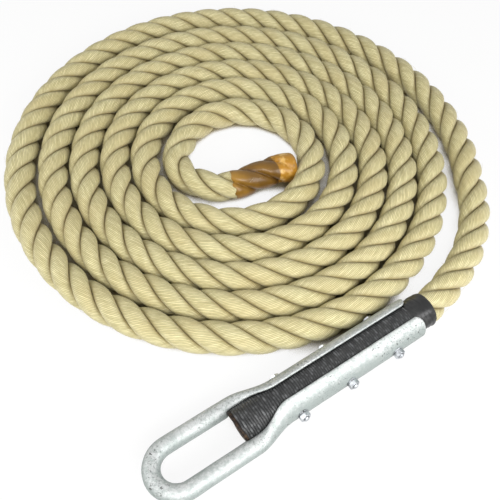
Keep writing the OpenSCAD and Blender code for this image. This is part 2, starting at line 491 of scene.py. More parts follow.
@dataclass(frozen=True)
class HempFinish:
    """Beige synthetic hemp: glossy yarns side by side, with painted shade towards and in the grooves between
    strands.
    """

    name: str = "synthetic_hemp"
    yarns: int = 34
    yarn_turn_m: float = 0.047
    light: tuple = (0.87, 0.805, 0.47)
    base: tuple = (0.61, 0.548, 0.265)
    # Dark joints between yarns, also used as painted shade towards the grooves between strands.
    yarn_gap_and_groove_shade: tuple = (0.27, 0.215, 0.088)
    # Painted shade in the grooves between strands.
    shade: tuple = (0.30, 0.225, 0.085)
    warm: tuple = (0.68, 0.57, 0.275)
    seed: float = 0.0

    def build(self) -> bpy.types.Material:
        """Build the material from the strand's own attributes."""
        s = Shader(self.name)
        along, turn, rise = s.attribute("along"), s.attribute("turn"), s.attribute("rise")
        wander = s.noise(140.0, 2.0) - 0.5
        yarn = (turn + along / self.yarn_turn_m) * self.yarns + wander * 0.55
        ridge = abs((yarn * math.pi).sine())
        yarn_id = yarn.math("FLOOR")
        lengthwise = s.point(yarn_id * 7.31 + self.seed, along * 24.0, turn * 3.0)
        streak = s.noise(1.0, 2.0, 0.6, lengthwise)
        fibres = s.noise(1.0, 3.0, 0.7, s.point(yarn * 5.0, along * 240.0, turn * 4.0))
        patches = s.noise(9.0, 3.0)
        tone = streak * 1.1 + fibres * 0.5 + patches * 0.3 - 0.45
        body = s.mix(tone.between(0.10, 0.95), self.base, self.light)
        body = s.mix(s.noise(23.0, 2.0).between(0.35, 0.75) * 0.5, body, self.warm)
        lines = s.mix(ridge.between(0.05, 0.62) * (0.55 + streak * 0.6), self.yarn_gap_and_groove_shade, body)
        # Painted shade: each strand darkens in a soft gradient towards its grooves, as light would shade a
        # round strand.
        rounded = s.mix(rise.between(0.66, 0.99, 0.34, 0.0), lines, self.yarn_gap_and_groove_shade)
        # Painted shade: darker again down in the grooves between strands.
        colour = s.mix(rise.between(0.60, 0.82, 0.85, 0.0), rounded, self.shade)
        height = ridge ** 0.7 + fibres * 0.35
        relief = s.bump(height, 0.00038, 1.0)
        roughness = 0.55 - streak * 0.24 + patches * 0.06
        return s.finish(Base_Color=colour, Roughness=roughness, Normal=relief, Specular_IOR_Level=0.6,
                        Sheen_Weight=0.10, Sheen_Roughness=0.45)


@dataclass(frozen=True)
class FibreFinish:
    """Loose fibres of the hemp: pale and a little glossy."""

    name: str = "loose_fibre"
    dark: tuple = (0.46, 0.40, 0.22)
    light: tuple = (0.74, 0.68, 0.44)

    def build(self) -> bpy.types.Material:
        """Build the material."""
        s = Shader(self.name)
        colour = s.mix(s.noise(60.0, 2.0), self.dark, self.light)
        return s.finish(Base_Color=colour, Roughness=0.5)


@dataclass(frozen=True)
class CoreFinish:
    """The rope inside the clamp: dull hemp, soaked with dark resin near its upper end."""

    name: str = "squeezed_hemp"
    dark: tuple = (0.36, 0.30, 0.15)
    light: tuple = (0.58, 0.50, 0.27)
    resin: tuple = (0.045, 0.027, 0.015)
    fade: float = 2 * MM

    def build(self, origin: np.ndarray, axis: np.ndarray, soaked_to: float) -> bpy.types.Material:
        """Build the material.

        Args:
            origin: the place that soaked_to is measured from.
            axis: the direction in which it is measured.
            soaked_to: how far the resin goes.

        Returns:
            The material.
        """
        s = Shader(self.name)
        cloud = s.noise(320.0, 3.0)
        values = {0: s.place, 1: tuple(axis)}
        along = s.number("ShaderNodeVectorMath", {"operation": "DOT_PRODUCT"}, values, "Value")
        inward = along - float(np.dot(origin, axis))
        soaked = inward.between(soaked_to, soaked_to + self.fade, 1.0, 0.0)
        colour = s.mix(soaked, s.mix(cloud, self.dark, self.light), self.resin)
        return s.finish(Base_Color=colour, Roughness=0.7, Normal=s.bump(cloud, 0.0004, 0.6))


@dataclass(frozen=True)
class DipFinish:
    """Amber resin over the strands, brown along its length and golden at its tip."""

    name: str = "amber_resin"
    edge: tuple = (0.33, 0.175, 0.028)
    brown: tuple = (0.205, 0.102, 0.014)
    dark: tuple = (0.080, 0.036, 0.007)
    gold: tuple = (0.43, 0.205, 0.020)
    pale: tuple = (0.78, 0.50, 0.16)

    def build(self) -> bpy.types.Material:
        """Build the material. The attribute dip runs from 0 at the edge to 1 at the tip."""
        s = Shader(self.name)
        dip, rise = s.attribute("dip"), s.attribute("rise")
        cloud = s.noise(70.0, 3.0)
        fine = s.noise(420.0, 3.0)
        amber = s.noise(38.0, 2.0)
        start = (dip + (cloud - 0.5) * 0.16).between(0.02, 0.30)
        tip = (dip + (cloud - 0.5) * 0.07).between(0.665, 0.69)
        crown = rise.between(0.66, 0.93)
        brown = s.mix(crown * 0.55 + amber.between(0.35, 0.65) * 0.45, self.dark, self.brown)
        amber_edge = s.mix(amber.between(0.4, 0.62), self.edge, self.brown)
        body = s.mix(start, amber_edge, brown)
        gold = s.mix(s.noise(85.0, 2.0).between(0.50, 0.70) * 0.9, self.gold, self.pale)
        gold = s.mix(s.noise(60.0, 3.0).between(0.56, 0.68) * 0.8, gold, self.brown)
        colour = s.mix(tip, body, gold)
        relief = s.bump(s.noise(130.0, 3.0) + fine * 0.2, 0.0008, 0.55)
        return s.finish(Base_Color=colour, Roughness=0.27 + fine * 0.10, Normal=relief,
                        Specular_IOR_Level=0.30, Coat_Weight=0.10, Coat_Roughness=0.10)


@dataclass(frozen=True)
class GalvanisedFinish:
    """Hot-dip galvanised steel: pale and mottled, with fine stains and small dark pits, painted lighter on
    top, with painted shade underneath and in crevices.
    """

    name: str = "hot_dip_zinc"
    pale: tuple = (0.60, 0.615, 0.61)
    dull: tuple = (0.355, 0.395, 0.380)
    # Darker zinc for the random mottle, and also the painted shade on the underside.
    under: tuple = (0.250, 0.285, 0.275)
    # Dark pits, and also the painted shade in crevices.
    pit_and_crevice_shade: tuple = (0.055, 0.058, 0.055)
    stain: tuple = (0.160, 0.172, 0.165)

    def build(self) -> bpy.types.Material:
        """Build the material on the object's own coordinates."""
        s = Shader(self.name)
        broad = s.noise(34.0, 4.0)
        grain = s.noise(650.0, 3.0, 0.65)
        cells = {"Vector": s.place, "Scale": 210.0, "Randomness": 1.0}
        spangle = s.number("ShaderNodeTexVoronoi", None, cells, "Distance")
        specks = s.noise(330.0, 2.0, 0.6)
        where = s.noise(17.0, 2.0).between(0.45, 0.60)
        pits = specks.between(0.62, 0.68) * where
        # Painted light: by its height in the section, the bar's top is painted paler, as if lit from above.
        crest = s.attribute("crest") + (broad - 0.5) * 0.7 + (grain - 0.5) * 0.5 + (spangle - 0.4) * 0.3
        colour = s.mix(crest.between(0.40, 1.0), self.dull, self.pale)
        mottle = (grain * 0.6 + broad * 0.4).between(0.35, 0.62, 0.35, 0.0)
        colour = s.mix(mottle, colour, self.under)
        speckle = s.noise(230.0, 4.0, 0.75).between(0.44, 0.64, 0.0, 0.75)
        colour = s.mix(speckle, colour, self.dull)
        stains = s.noise(480.0, 3.0, 0.8).between(0.53, 0.66) * s.noise(26.0, 3.0).between(0.34, 0.56)
        colour = s.mix(stains * 0.75, colour, self.stain)
        # Painted shade: the underside is painted darker.
        colour = s.mix(crest.between(-0.5, 0.05, 0.6, 0.0), colour, self.under)
        colour = s.mix(pits * 0.9, colour, self.pit_and_crevice_shade)
        # Painted shade: darker where other surfaces lie close, in crevices and under the fasteners.
        colour = s.mix(s.openness(0.004).between(0.25, 0.75, 0.85, 0.0), colour, self.pit_and_crevice_shade)
        relief = s.bump(broad + grain * 0.25 - pits * 1.2, 0.0005, 0.55)
        return s.finish(Base_Color=colour, Metallic=0.50 - pits * 0.4, Roughness=0.46 + grain * 0.24,
                        Normal=relief)


@dataclass(frozen=True)
class ZincFinish:
    """Bright zinc plate on the fasteners, with fine turning marks and painted shade in crevices."""

    name: str = "zinc_plate"
    colour: tuple = (0.70, 0.73, 0.76)
    dull: tuple = (0.24, 0.25, 0.265)
    painted_contact_shade: tuple = (0.015, 0.015, 0.016)

    def build(self) -> bpy.types.Material:
        """Build the material on the object's own coordinates."""
        s = Shader(self.name)
        cloud = s.noise(260.0, 3.0)
        fine = s.noise(1500.0, 2.0)
        colour = s.mix(cloud.between(0.35, 0.7) * 0.8, self.colour, self.dull)
        # Painted shade: darker where other surfaces lie close, between nut, washer, bolt and shell.
        colour = s.mix(s.openness(0.003).between(0.3, 0.8, 0.95, 0.0), colour, self.painted_contact_shade)
        return s.finish(Base_Color=colour, Metallic=1.0, Roughness=0.22 + fine * 0.18,
                        Normal=s.bump(fine, 0.0001, 0.4))


@dataclass(frozen=True)
class BlackFinish:
    """Black winding: twine or tape, glossy, with a little dust, and painted glints on the twine's crests."""

    name: str
    colour: tuple = (0.0075, 0.0077, 0.0080)
    dust: tuple = (0.055, 0.055, 0.053)
    gloss: float = 0.34
    shine: float = 0.34
    grain: float = 900.0
    depth_m: float = 0.00010
    painted_glint: tuple = (0.125, 0.128, 0.131)
    glints_a_turn: float = 11.0

    def build(self) -> bpy.types.Material:
        """Build the material.

        Twine holds how many turns it is wound and its crest, from 0 to 1, and gets painted glints there.
        Tape holds neither.
        """
        s = Shader(self.name)
        cloud = s.noise(55.0, 3.0)
        fine = s.noise(self.grain, 3.0)
        dusty = cloud.between(0.45, 0.8) * 0.45 + fine.between(0.6, 0.85) * 0.3
        colour = s.mix(dusty, self.colour, self.dust)
        # Painted highlights: pale glints painted along the twine's crests, broken up along each turn.
        glints = s.noise(1.0, 2.0, 0.6, s.point(s.attribute("wound") * self.glints_a_turn, 0.0, 0.0))
        painted_glint_share = s.attribute("crest").between(0.40, 0.97) * (glints.between(0.46, 0.64) * 0.80 + 0.20)
        colour = s.mix(painted_glint_share, colour, self.painted_glint)
        return s.finish(Base_Color=colour, Roughness=self.gloss + cloud * 0.16 + fine * 0.08,
                        Normal=s.bump(fine + cloud, self.depth_m, 0.6), Specular_IOR_Level=self.shine)


@dataclass(frozen=True)
class SealFinish:
    """Dark brown resin on the rope's upper end."""

    name: str = "brown_resin"
    colour: tuple = (0.012, 0.008, 0.006)
    light: tuple = (0.060, 0.036, 0.020)

    def build(self) -> bpy.types.Material:
        """Build the material on the object's own coordinates."""
        s = Shader(self.name)
        cloud = s.noise(240.0, 3.0)
        colour = s.mix(cloud.between(0.45, 0.7), self.colour, self.light)
        return s.finish(Base_Color=colour, Roughness=0.5 + cloud * 0.2, Normal=s.bump(cloud, 0.0006, 0.7),
                        Specular_IOR_Level=0.2)


# ---------------------------------------------------------------------------
# The rope
# ---------------------------------------------------------------------------

@dataclass
class RopeRoute:
    """The middle line of the rope, from the mouth of the clamp to its dipped end.

    The sizes and the listed points are those of the rope's solids.
    """

    rope_d: float = 36 * MM
    turn_gap: float = 0.6 * MM
    coil_r: float = 275.5 * MM
    half_turns: int = 11
    first_slack: float = 4.5 * MM
    second_slack: float = 1 * MM
    inner_slack: float = 2 * MM
    dip_edge: float = 9 * MM
    step: float = 4.5 * MM
    lead_points: tuple = (
        (2, -19, 0), (2.2, -40, 0), (0.5, -60, 0), (-3, -79, 0.1), (-8, -97, 0.4),
        (-14.5, -115, 0.8), (-22.5, -132, 1.3), (-32, -148, 1.9), (-42, -163, 2.6), (-53, -178, 3.2))
    tail_points: tuple = (
        (-1, -14, 0), (5, -29, 0), (17.5, -40.5, 0), (31.5, -47.5, 0), (45, -50.5, 0), (59, -50.5, 0),
        (72.5, -46, 0), (88, -37, 0), (103.5, -26.5, 0), (118, -17.5, 0), (128.5, -12, 0), (137, -9, 0))
    dip_start: int = 7
    middles: list = field(init=False)
    radii: list = field(init=False)

    def __post_init__(self) -> None:
        """Work out the half turns, placed by the coil's own box in the frame."""
        low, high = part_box("rope_coil")
        drop = self.rope_d / 2 + self.turn_gap / 2
        slacks = [self.first_slack, self.second_slack]
        for k in range(2, self.half_turns):
            slacks.append(self.inner_slack if k > self.half_turns - 4 else 0.0)
        self.radii, shifts = [self.coil_r], [0.0]
        for k in range(1, self.half_turns):
            self.radii.append(self.radii[-1] - drop - slacks[k - 1])
            shifts.append(shifts[-1] + (drop + slacks[k - 1]) * math.cos(k * math.pi))
        start = low[0] + self.rope_d / 2 + self.radii[1] - shifts[1]
        self.line_y = high[1] - self.rope_d / 2 - self.coil_r
        self.middles = [start + shift for shift in shifts]

    def half_turn(self, k: int) -> np.ndarray:
        """Return the points of one half turn, without its last one."""
        count = max(12, round(math.pi * self.radii[k] / self.step))
        angle = (k + np.arange(count) / count) * math.pi
        x = self.middles[k] + self.radii[k] * np.cos(angle)
        y = self.line_y + self.radii[k] * np.sin(angle)
        return np.stack([x, y, np.full(count, self.rope_d / 2)], -1)

    def run(self, points: np.ndarray, heading_in: np.ndarray, heading_out: np.ndarray) -> np.ndarray:
        """Return a smooth curve through points.

        Args:
            points: the points.
            heading_in: the direction at the first point.
            heading_out: the direction at the last point.

        Returns:
            Points along the curve, about a step apart.
        """
        before = points[1] - 2 * np.linalg.norm(points[1] - points[0]) * heading_in
        after = points[-2] + 2 * np.linalg.norm(points[-1] - points[-2]) * heading_out
        p = np.vstack([before, points, after])
        curve = []
        for a, b, c, d in zip(p, p[1:], p[2:], p[3:]):
            for t in np.arange(0, 1, self.step / np.linalg.norm(c - b)):
                curve.append(0.5 * (2 * b + (c - a) * t + (2 * a - 5 * b + 4 * c - d) * t**2
                                    + (3 * b - a - 3 * c + d) * t**3))
        return np.vstack([curve, points[-1]])

    def build(self, mouth: np.ndarray, axis: np.ndarray) -> None:
        """Join the lead, the coil and the tail.

        Args:
            mouth: the middle of the clamp's mouth.
            axis: the direction from the eye's crown to the mouth.
        """
        down = np.array([0.0, -1.0, 0.0])
        radius = self.rope_d / 2
        outer = np.array([self.middles[0] + self.radii[0], self.line_y, radius])
        lead = np.vstack([outer, outer + np.array(self.lead_points) * MM, mouth])
        lead_run = self.run(lead, down, -axis)[::-1]
        coil = np.vstack([self.half_turn(k) for k in range(self.half_turns)])
        end = math.cos(self.half_turns * math.pi)
        inner = np.array([self.middles[-1] + end * self.radii[-1], self.line_y, radius])
        tail = np.vstack([inner, inner + np.array(self.tail_points) * MM])
        heading = tail[-1] - tail[-2]
        heading /= np.linalg.norm(heading)
        tail_run = self.run(tail, down, heading)
        cap = tail_run[-1] + heading * self.dip_edge
        dip_at = tail[self.dip_start]
        self.points = self.even(np.vstack([lead_run[:-1], coil, tail_run, cap]))
        self.along = self.lengths(self.points)
        self.length = float(self.along[-1])
        near = np.linalg.norm(self.points - dip_at, axis=1)
        near[self.along < self.length / 2] = 1.0
        self.dip_at = float(self.along[near.argmin()])

    def even(self, points: np.ndarray) -> np.ndarray:
        """Return points evenly spaced along the same line, about a step apart."""
        along = self.lengths(points)
        places = np.linspace(0, along[-1], round(along[-1] / self.step))
        return np.stack([np.interp(places, along, points[:, i]) for i in range(3)], -1)

    @staticmethod
    def lengths(points: np.ndarray) -> np.ndarray:
        """Return the length from the first point to each point."""
        return np.concatenate([[0], np.cumsum(np.linalg.norm(np.diff(points, axis=0), axis=1))])


@dataclass
class Rope:
    """The laid rope: three strands, the resin dip and the loose fibres."""

    route: RopeRoute
    lay: Lay = Lay.RIGHT_HANDED
    lay_length: float = 102 * MM
    lay_start: float = 0.0
    strand_middle: float = 9.6 * MM
    strand_deep: float = 8.4 * MM
    strand_wide: float = 10.9 * MM
    strand_gap: float = 0.12 * MM
    profile_points: int = 56
    squeezed: float = 17 / 18
    squeeze_run: float = 14 * MM
    dip_film: float = 0.55 * MM
    dip_columns: int = 132
    dip_step: float = 0.9 * MM
    dip_inset: float = 0.90
    dip_lap: float = 4 * MM
    strand_end: float = 4 * MM
    cap_run: float = 21 * MM
    cap_edge: float = 9 * MM
    edge_ragged: float = 3.2 * MM
    fibres_per_m2: float = 2600.0
    fibre_seed: int = 7
    fibre_r: float = 0.00009
    fibre_from: float = 9.5 * MM
    fibre_bow: tuple = ((0, 0, -0.0004), (0.0035, 0, 0.0016), (0.008, 0.0014, 0.0006))

    def angle(self, along: np.ndarray) -> np.ndarray:
        """Return how far the strands have turned about the rope, in radians."""
        return self.lay_start + self.lay.value * TAU * along / self.lay_length

    def lobe(self, away: np.ndarray) -> np.ndarray:
        """Return a strand's outer radius about the rope's axis.

        Args:
            away: the angle from the strand's crown, up to 60 degrees each way.

        Returns:
            The radius in metres.
        """
        c, s = np.cos(away) / self.strand_deep, np.sin(away) / self.strand_wide
        offset = self.strand_middle / self.strand_deep
        square = c * c + s * s
        half = c * offset
        return (half + np.sqrt(np.maximum(half * half - square * (offset * offset - 1), 0))) / square

    def girth(self) -> np.ndarray:
        """Return the rope's girth at each point of the route, as a share of its full girth."""
        along, end, dip_at = self.route.along, self.route.length, self.route.dip_at
        taper = self.squeezed + (1 - self.squeezed) * smooth_step(along, 0, self.squeeze_run)
        dipped = 1 - (1 - self.dip_inset) * smooth_step(along, dip_at - 1 * MM, dip_at + 5 * MM)
        closing = 1 - 0.5 * smooth_step(along, end - 12 * MM, end - 2 * MM)
        waver = 1 + 0.006 * np.sin(along * 61) + 0.005 * np.sin(along * 23 + 2)
        return taper * dipped * closing * waver

    def route_mesh(self) -> bpy.types.Mesh:
        """Return the route as a line of edges that holds its girth and turn at each point."""
        keep = self.route.along <= self.route.length - self.strand_end
        points = self.route.points[keep]
        mesh = bpy.data.meshes.new("rope_route")
        mesh.from_pydata(points.tolist(), [(i, i + 1) for i in range(len(points) - 1)], [])
        hold(mesh, along=self.route.along[keep], girth=self.girth()[keep],
             lay_turn=self.angle(self.route.along)[keep])
        return mesh

    def strand_recipe(self) -> Recipe:
        """Return the tree that sweeps one strand along the route."""
        r = Recipe("laid_strand", Phase="Float", Strand_Middle="Float", Strand_Deep="Float",
                   Strand_Wide="Float", Gap="Float", Profile_Points="Int", Material="Material")
        line = r.add("GeometryNodeMeshToCurve", None, {"Mesh": r.inlet.outputs["Geometry"]}).outputs[0]
        line = r.add("GeometryNodeSetCurveNormal", {"mode": "Z_UP"}, {"Curve": line}).outputs[0]
        values = {"Curve": line, "Radius": r.named("girth")}
        line = r.add("GeometryNodeSetCurveRadius", None, values).outputs[0]
        turn = r.named("lay_turn") + r.given("Phase")
        line = r.add("GeometryNodeSetCurveTilt", None, {"Curve": line, "Tilt": turn}).outputs[0]
        values = {"Resolution": r.given("Profile Points")}
        profile = r.add("GeometryNodeCurvePrimitiveCircle", None, values).outputs[0]
        share = r.number("GeometryNodeSplineParameter", None, None, "Factor")
        angle = share * TAU + math.pi
        x = r.given("Strand Middle") + angle.cosine() * r.given("Strand Deep")
        reach = x * math.tan(math.pi / 3) - r.given("Gap")
        y = (angle.sine() * r.given("Strand Wide")).math("MINIMUM", reach).math("MAXIMUM", -reach)
        place = r.add("ShaderNodeCombineXYZ", None, {"X": x, "Y": y}).outputs[0]
        profile = r.add("GeometryNodeSetPosition", None, {"Geometry": profile, "Position": place}).outputs[0]
        profile = r.keep(profile, "turn", share)
        full = self.strand_middle + self.strand_deep
        profile = r.keep(profile, "rise", (x * x + y * y).math("SQRT") / full)
        values = {"Curve": line, "Profile Curve": profile, "Fill Caps": True}
        r.close(r.add("GeometryNodeCurveToMesh", None, values).outputs[0])
        return r

    def strands(self) -> list[bpy.types.Object]:
        """Make the three strands."""
        recipe = self.strand_recipe()
        pieces = []
        for i in range(3):
            finish = HempFinish(name=f"synthetic_hemp_{i + 1}", seed=3.7 * i).build()
            piece = recipe.make(
                f"strand_{i + 1}", self.route_mesh(), Phase=i * TAU / 3, Strand_Middle=self.strand_middle,
                Strand_Deep=self.strand_deep, Strand_Wide=self.strand_wide, Gap=self.strand_gap,
                Profile_Points=self.profile_points, Material=finish)
            turn_outwards(piece.data)
            pieces.append(dress(piece, finish, "rope", "rope_coil", "rope_lead", "rope_tail"))
        return pieces

    def frames(self, places: np.ndarray) -> tuple[np.ndarray, np.ndarray, np.ndarray]:
        """Return the rope's middle, side and up directions at places along it."""
        route = self.route
        points = np.stack([np.interp(places, route.along, route.points[:, i]) for i in range(3)], -1)
        ahead = unit(np.gradient(points, axis=0))
        side = unit(np.cross(ahead, (0, 0, 1)))
        return points, side, np.cross(side, ahead)

    def dip(self) -> bpy.types.Object:
        """Make the resin dip: the strands' relief under a film, and a smoother domed cap."""
        first, last = self.route.dip_at - self.dip_lap, self.route.length
        rows = max(8, round((last - first) / self.dip_step))
        places = np.linspace(first, last, rows)
        middle, side, up = self.frames(places)
        around = circle(self.dip_columns)
        ragged = 0.5 + 0.5 * np.sin(3 * around + 1) * np.sin(5 * around) + 0.25 * np.sin(11 * around + 2)
        start = self.route.dip_at + self.edge_ragged * (ragged - 0.5)
        share = np.clip((places[:, None] - first) / (last - first), 0, 1)
        s = start + (last - start) * share
        away = (around - self.angle(s) + math.pi / 3) % (TAU / 3) - math.pi / 3
        relief = self.lobe(away)
        full = self.strand_middle + self.strand_deep
        cap = smooth_step(s, last - self.cap_run - 2 * MM, last - self.cap_run + 1.5 * MM)
        fill = 0.12 + 0.55 * cap + 0.2 * smooth_step(s, last - 14 * MM, last)
        radius = relief + fill * (full * 0.985 - relief)
        film = self.dip_film * smooth_step(s, start, start + 4 * MM) + 0.03 * MM
        radius = radius * (1 - 0.02 * smooth_step(s, start, start + 10 * MM)) + film + 0.5 * MM * cap
        left = np.clip((s - (last - self.cap_edge)) / self.cap_edge, 0, 1)
        radius = radius - self.cap_edge * (1 - np.maximum(1 - left**2.6, 0) ** (1 / 2.6))
        grid = []
        for row, wide in zip(s, radius):
            at, across, above = (np.stack([np.interp(row, places, line[:, k]) for k in range(3)], -1)
                                 for line in (middle, side, up))
            ring = across * np.cos(around)[:, None] - above * np.sin(around)[:, None]
            grid.append(at + ring * wide[:, None])
        grid = np.array(grid)
        lift = rough(grid, 120.0, 0.35 * MM, 4.2) * smooth_step(s, start + 2 * MM, start + 8 * MM)
        grid = grid + unit(grid - middle[:, None, :]) * lift[..., None]
        mesh = grid_mesh("resin_dip", grid)
        hold(mesh, dip=np.clip((s - start) / (last - start), 0, 1), rise=relief / full)
        return dress(as_piece("resin_dip", mesh), DipFinish().build(), "dip", "dipped_end")

    def fibre_recipe(self) -> Recipe:
        """Return the tree that scatters loose fibres over a strand."""
        r = Recipe("loose_fibres", Density="Float", Seed="Int", Fibre_Radius="Float", Material="Material")
        strand = r.inlet.outputs["Geometry"]
        where = {0: r.add("GeometryNodeInputPosition").outputs[0]}
        height = r.number("ShaderNodeSeparateXYZ", None, where, "Z")
        outside = r.named("rise").math("GREATER_THAN", 0.86) * height.math("GREATER_THAN", self.fibre_from)
        values = {"Mesh": strand, "Density": r.given("Density") * outside, "Seed": r.given("Seed")}
        scatter = r.add("GeometryNodeDistributePointsOnFaces", {"distribute_method": "RANDOM"}, values)
        start, middle, end = self.fibre_bow
        bow = r.add("GeometryNodeCurveQuadraticBezier", None, {
            "Resolution": 4, "Start": start, "Middle": middle, "End": end})
        round_one = r.add("GeometryNodeCurvePrimitiveCircle", None,
                          {"Resolution": 3, "Radius": r.given("Fibre Radius")}).outputs[0]
        hair = r.add("GeometryNodeCurveToMesh", None, {
            "Curve": bow.outputs[0], "Profile Curve": round_one, "Fill Caps": True}).outputs[0]
        spin, size = (
            r.add("FunctionNodeRandomValue", {"data_type": "FLOAT"}, {2: least, 3: most, "Seed": seed})
            for least, most, seed in ((0.0, TAU, r.given("Seed")), (0.45, 1.25, r.given("Seed") + 5)))
        twist = r.add("FunctionNodeRotateRotation", {"rotation_space": "LOCAL"}, {
            "Rotation": scatter.outputs["Rotation"],
            "Rotate By": r.add("FunctionNodeAxisAngleToRotation", None, {
                "Axis": (0, 0, 1), "Angle": spin.outputs[1]}).outputs[0]})
        hairs = r.add("GeometryNodeInstanceOnPoints", None, {
            "Points": scatter.outputs["Points"], "Instance": hair,
            "Rotation": twist.outputs[0], "Scale": size.outputs[1]}).outputs[0]
        r.close(hairs)
        return r

    def fibres(self, strands: Iterable[bpy.types.Object]) -> list[bpy.types.Object]:
        """Make the loose fibres of each strand."""
        recipe = self.fibre_recipe()
        pieces = []
        for i, strand in enumerate(strands, 1):
            finish = FibreFinish().build()
            piece = recipe.make(f"loose_fibres_{i}", strand.data.copy(), Density=self.fibres_per_m2,
                                Seed=self.fibre_seed + i, Fibre_Radius=self.fibre_r, Material=finish)
            pieces.append(dress(piece, finish, "rope"))
        return pieces

    def build(self) -> None:
        strands = self.strands()
        dip = self.dip()
        fibres = self.fibres(strands)


# ---------------------------------------------------------------------------
# The hanging eye and what it clamps
# ---------------------------------------------------------------------------

@dataclass
class Bracket:
    """The eye's own frame: X from the crown to the mouth, Y to the far side, Z up before the roll."""

    bar_d: float = 17.5 * MM
    eye_w: float = 30.5 * MM
    eye_len: float = 82 * MM
    seal_t: float = 1.5 * MM
    leg_lap: float = 7 * MM
    neck_l: float = 39 * MM
    shell_l: float = 171.5 * MM
    shell_t: float = 4.5 * MM
    shell_half: float = math.radians(66)
    roll: float = math.radians(5.5)
    corner_r: float = 8 * MM
    whip_r: float = 18.2 * MM
    core_r: float = 17 * MM
    whip_clearance: float = 0.3 * MM
    tape_in: float = 7 * MM
    tape_out: float = 20 * MM

    def __post_init__(self) -> None:
        """Work out the places along the bar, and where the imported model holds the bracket."""
        self.leg_y = (self.eye_w + self.bar_d) / 2
        self.seal_x = self.bar_d / 2 + self.eye_len
        self.whip_x = self.seal_x + self.seal_t
        self.neck_x = self.whip_x + self.leg_lap
        self.shell_x = self.neck_x + self.neck_l
        self.shell_end = self.shell_x + self.shell_l
        self.tape_x = self.shell_end - self.tape_in
        self.mouth_x = self.shell_end + self.tape_out
        self.shell_ir = self.whip_r + self.whip_clearance
        self.shell_or = self.shell_ir + self.shell_t
        seal = np.mean(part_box("end_seal"), axis=0)
        tape = np.mean(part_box("mouth_tape"), axis=0)
        self.axis = (tape - seal) / np.linalg.norm(tape - seal)
        flat = np.cross((0, 0, 1), self.axis)
        self.far = math.cos(self.roll) * flat - math.sin(self.roll) * np.array([0, 0, 1.0])
        self.up = np.cross(self.axis, self.far)
        self.crown = seal - self.axis * (self.seal_x + self.seal_t / 2)
        self.mouth = self.crown + self.axis * self.mouth_x

    def place(self, points: np.ndarray) -> np.ndarray:
        """Turn points of the bracket's frame into points of the part's frame."""
        x, y, z = points[..., 0:1], points[..., 1:2], points[..., 2:3]
        return self.crown + x * self.axis + y * self.far + z * self.up


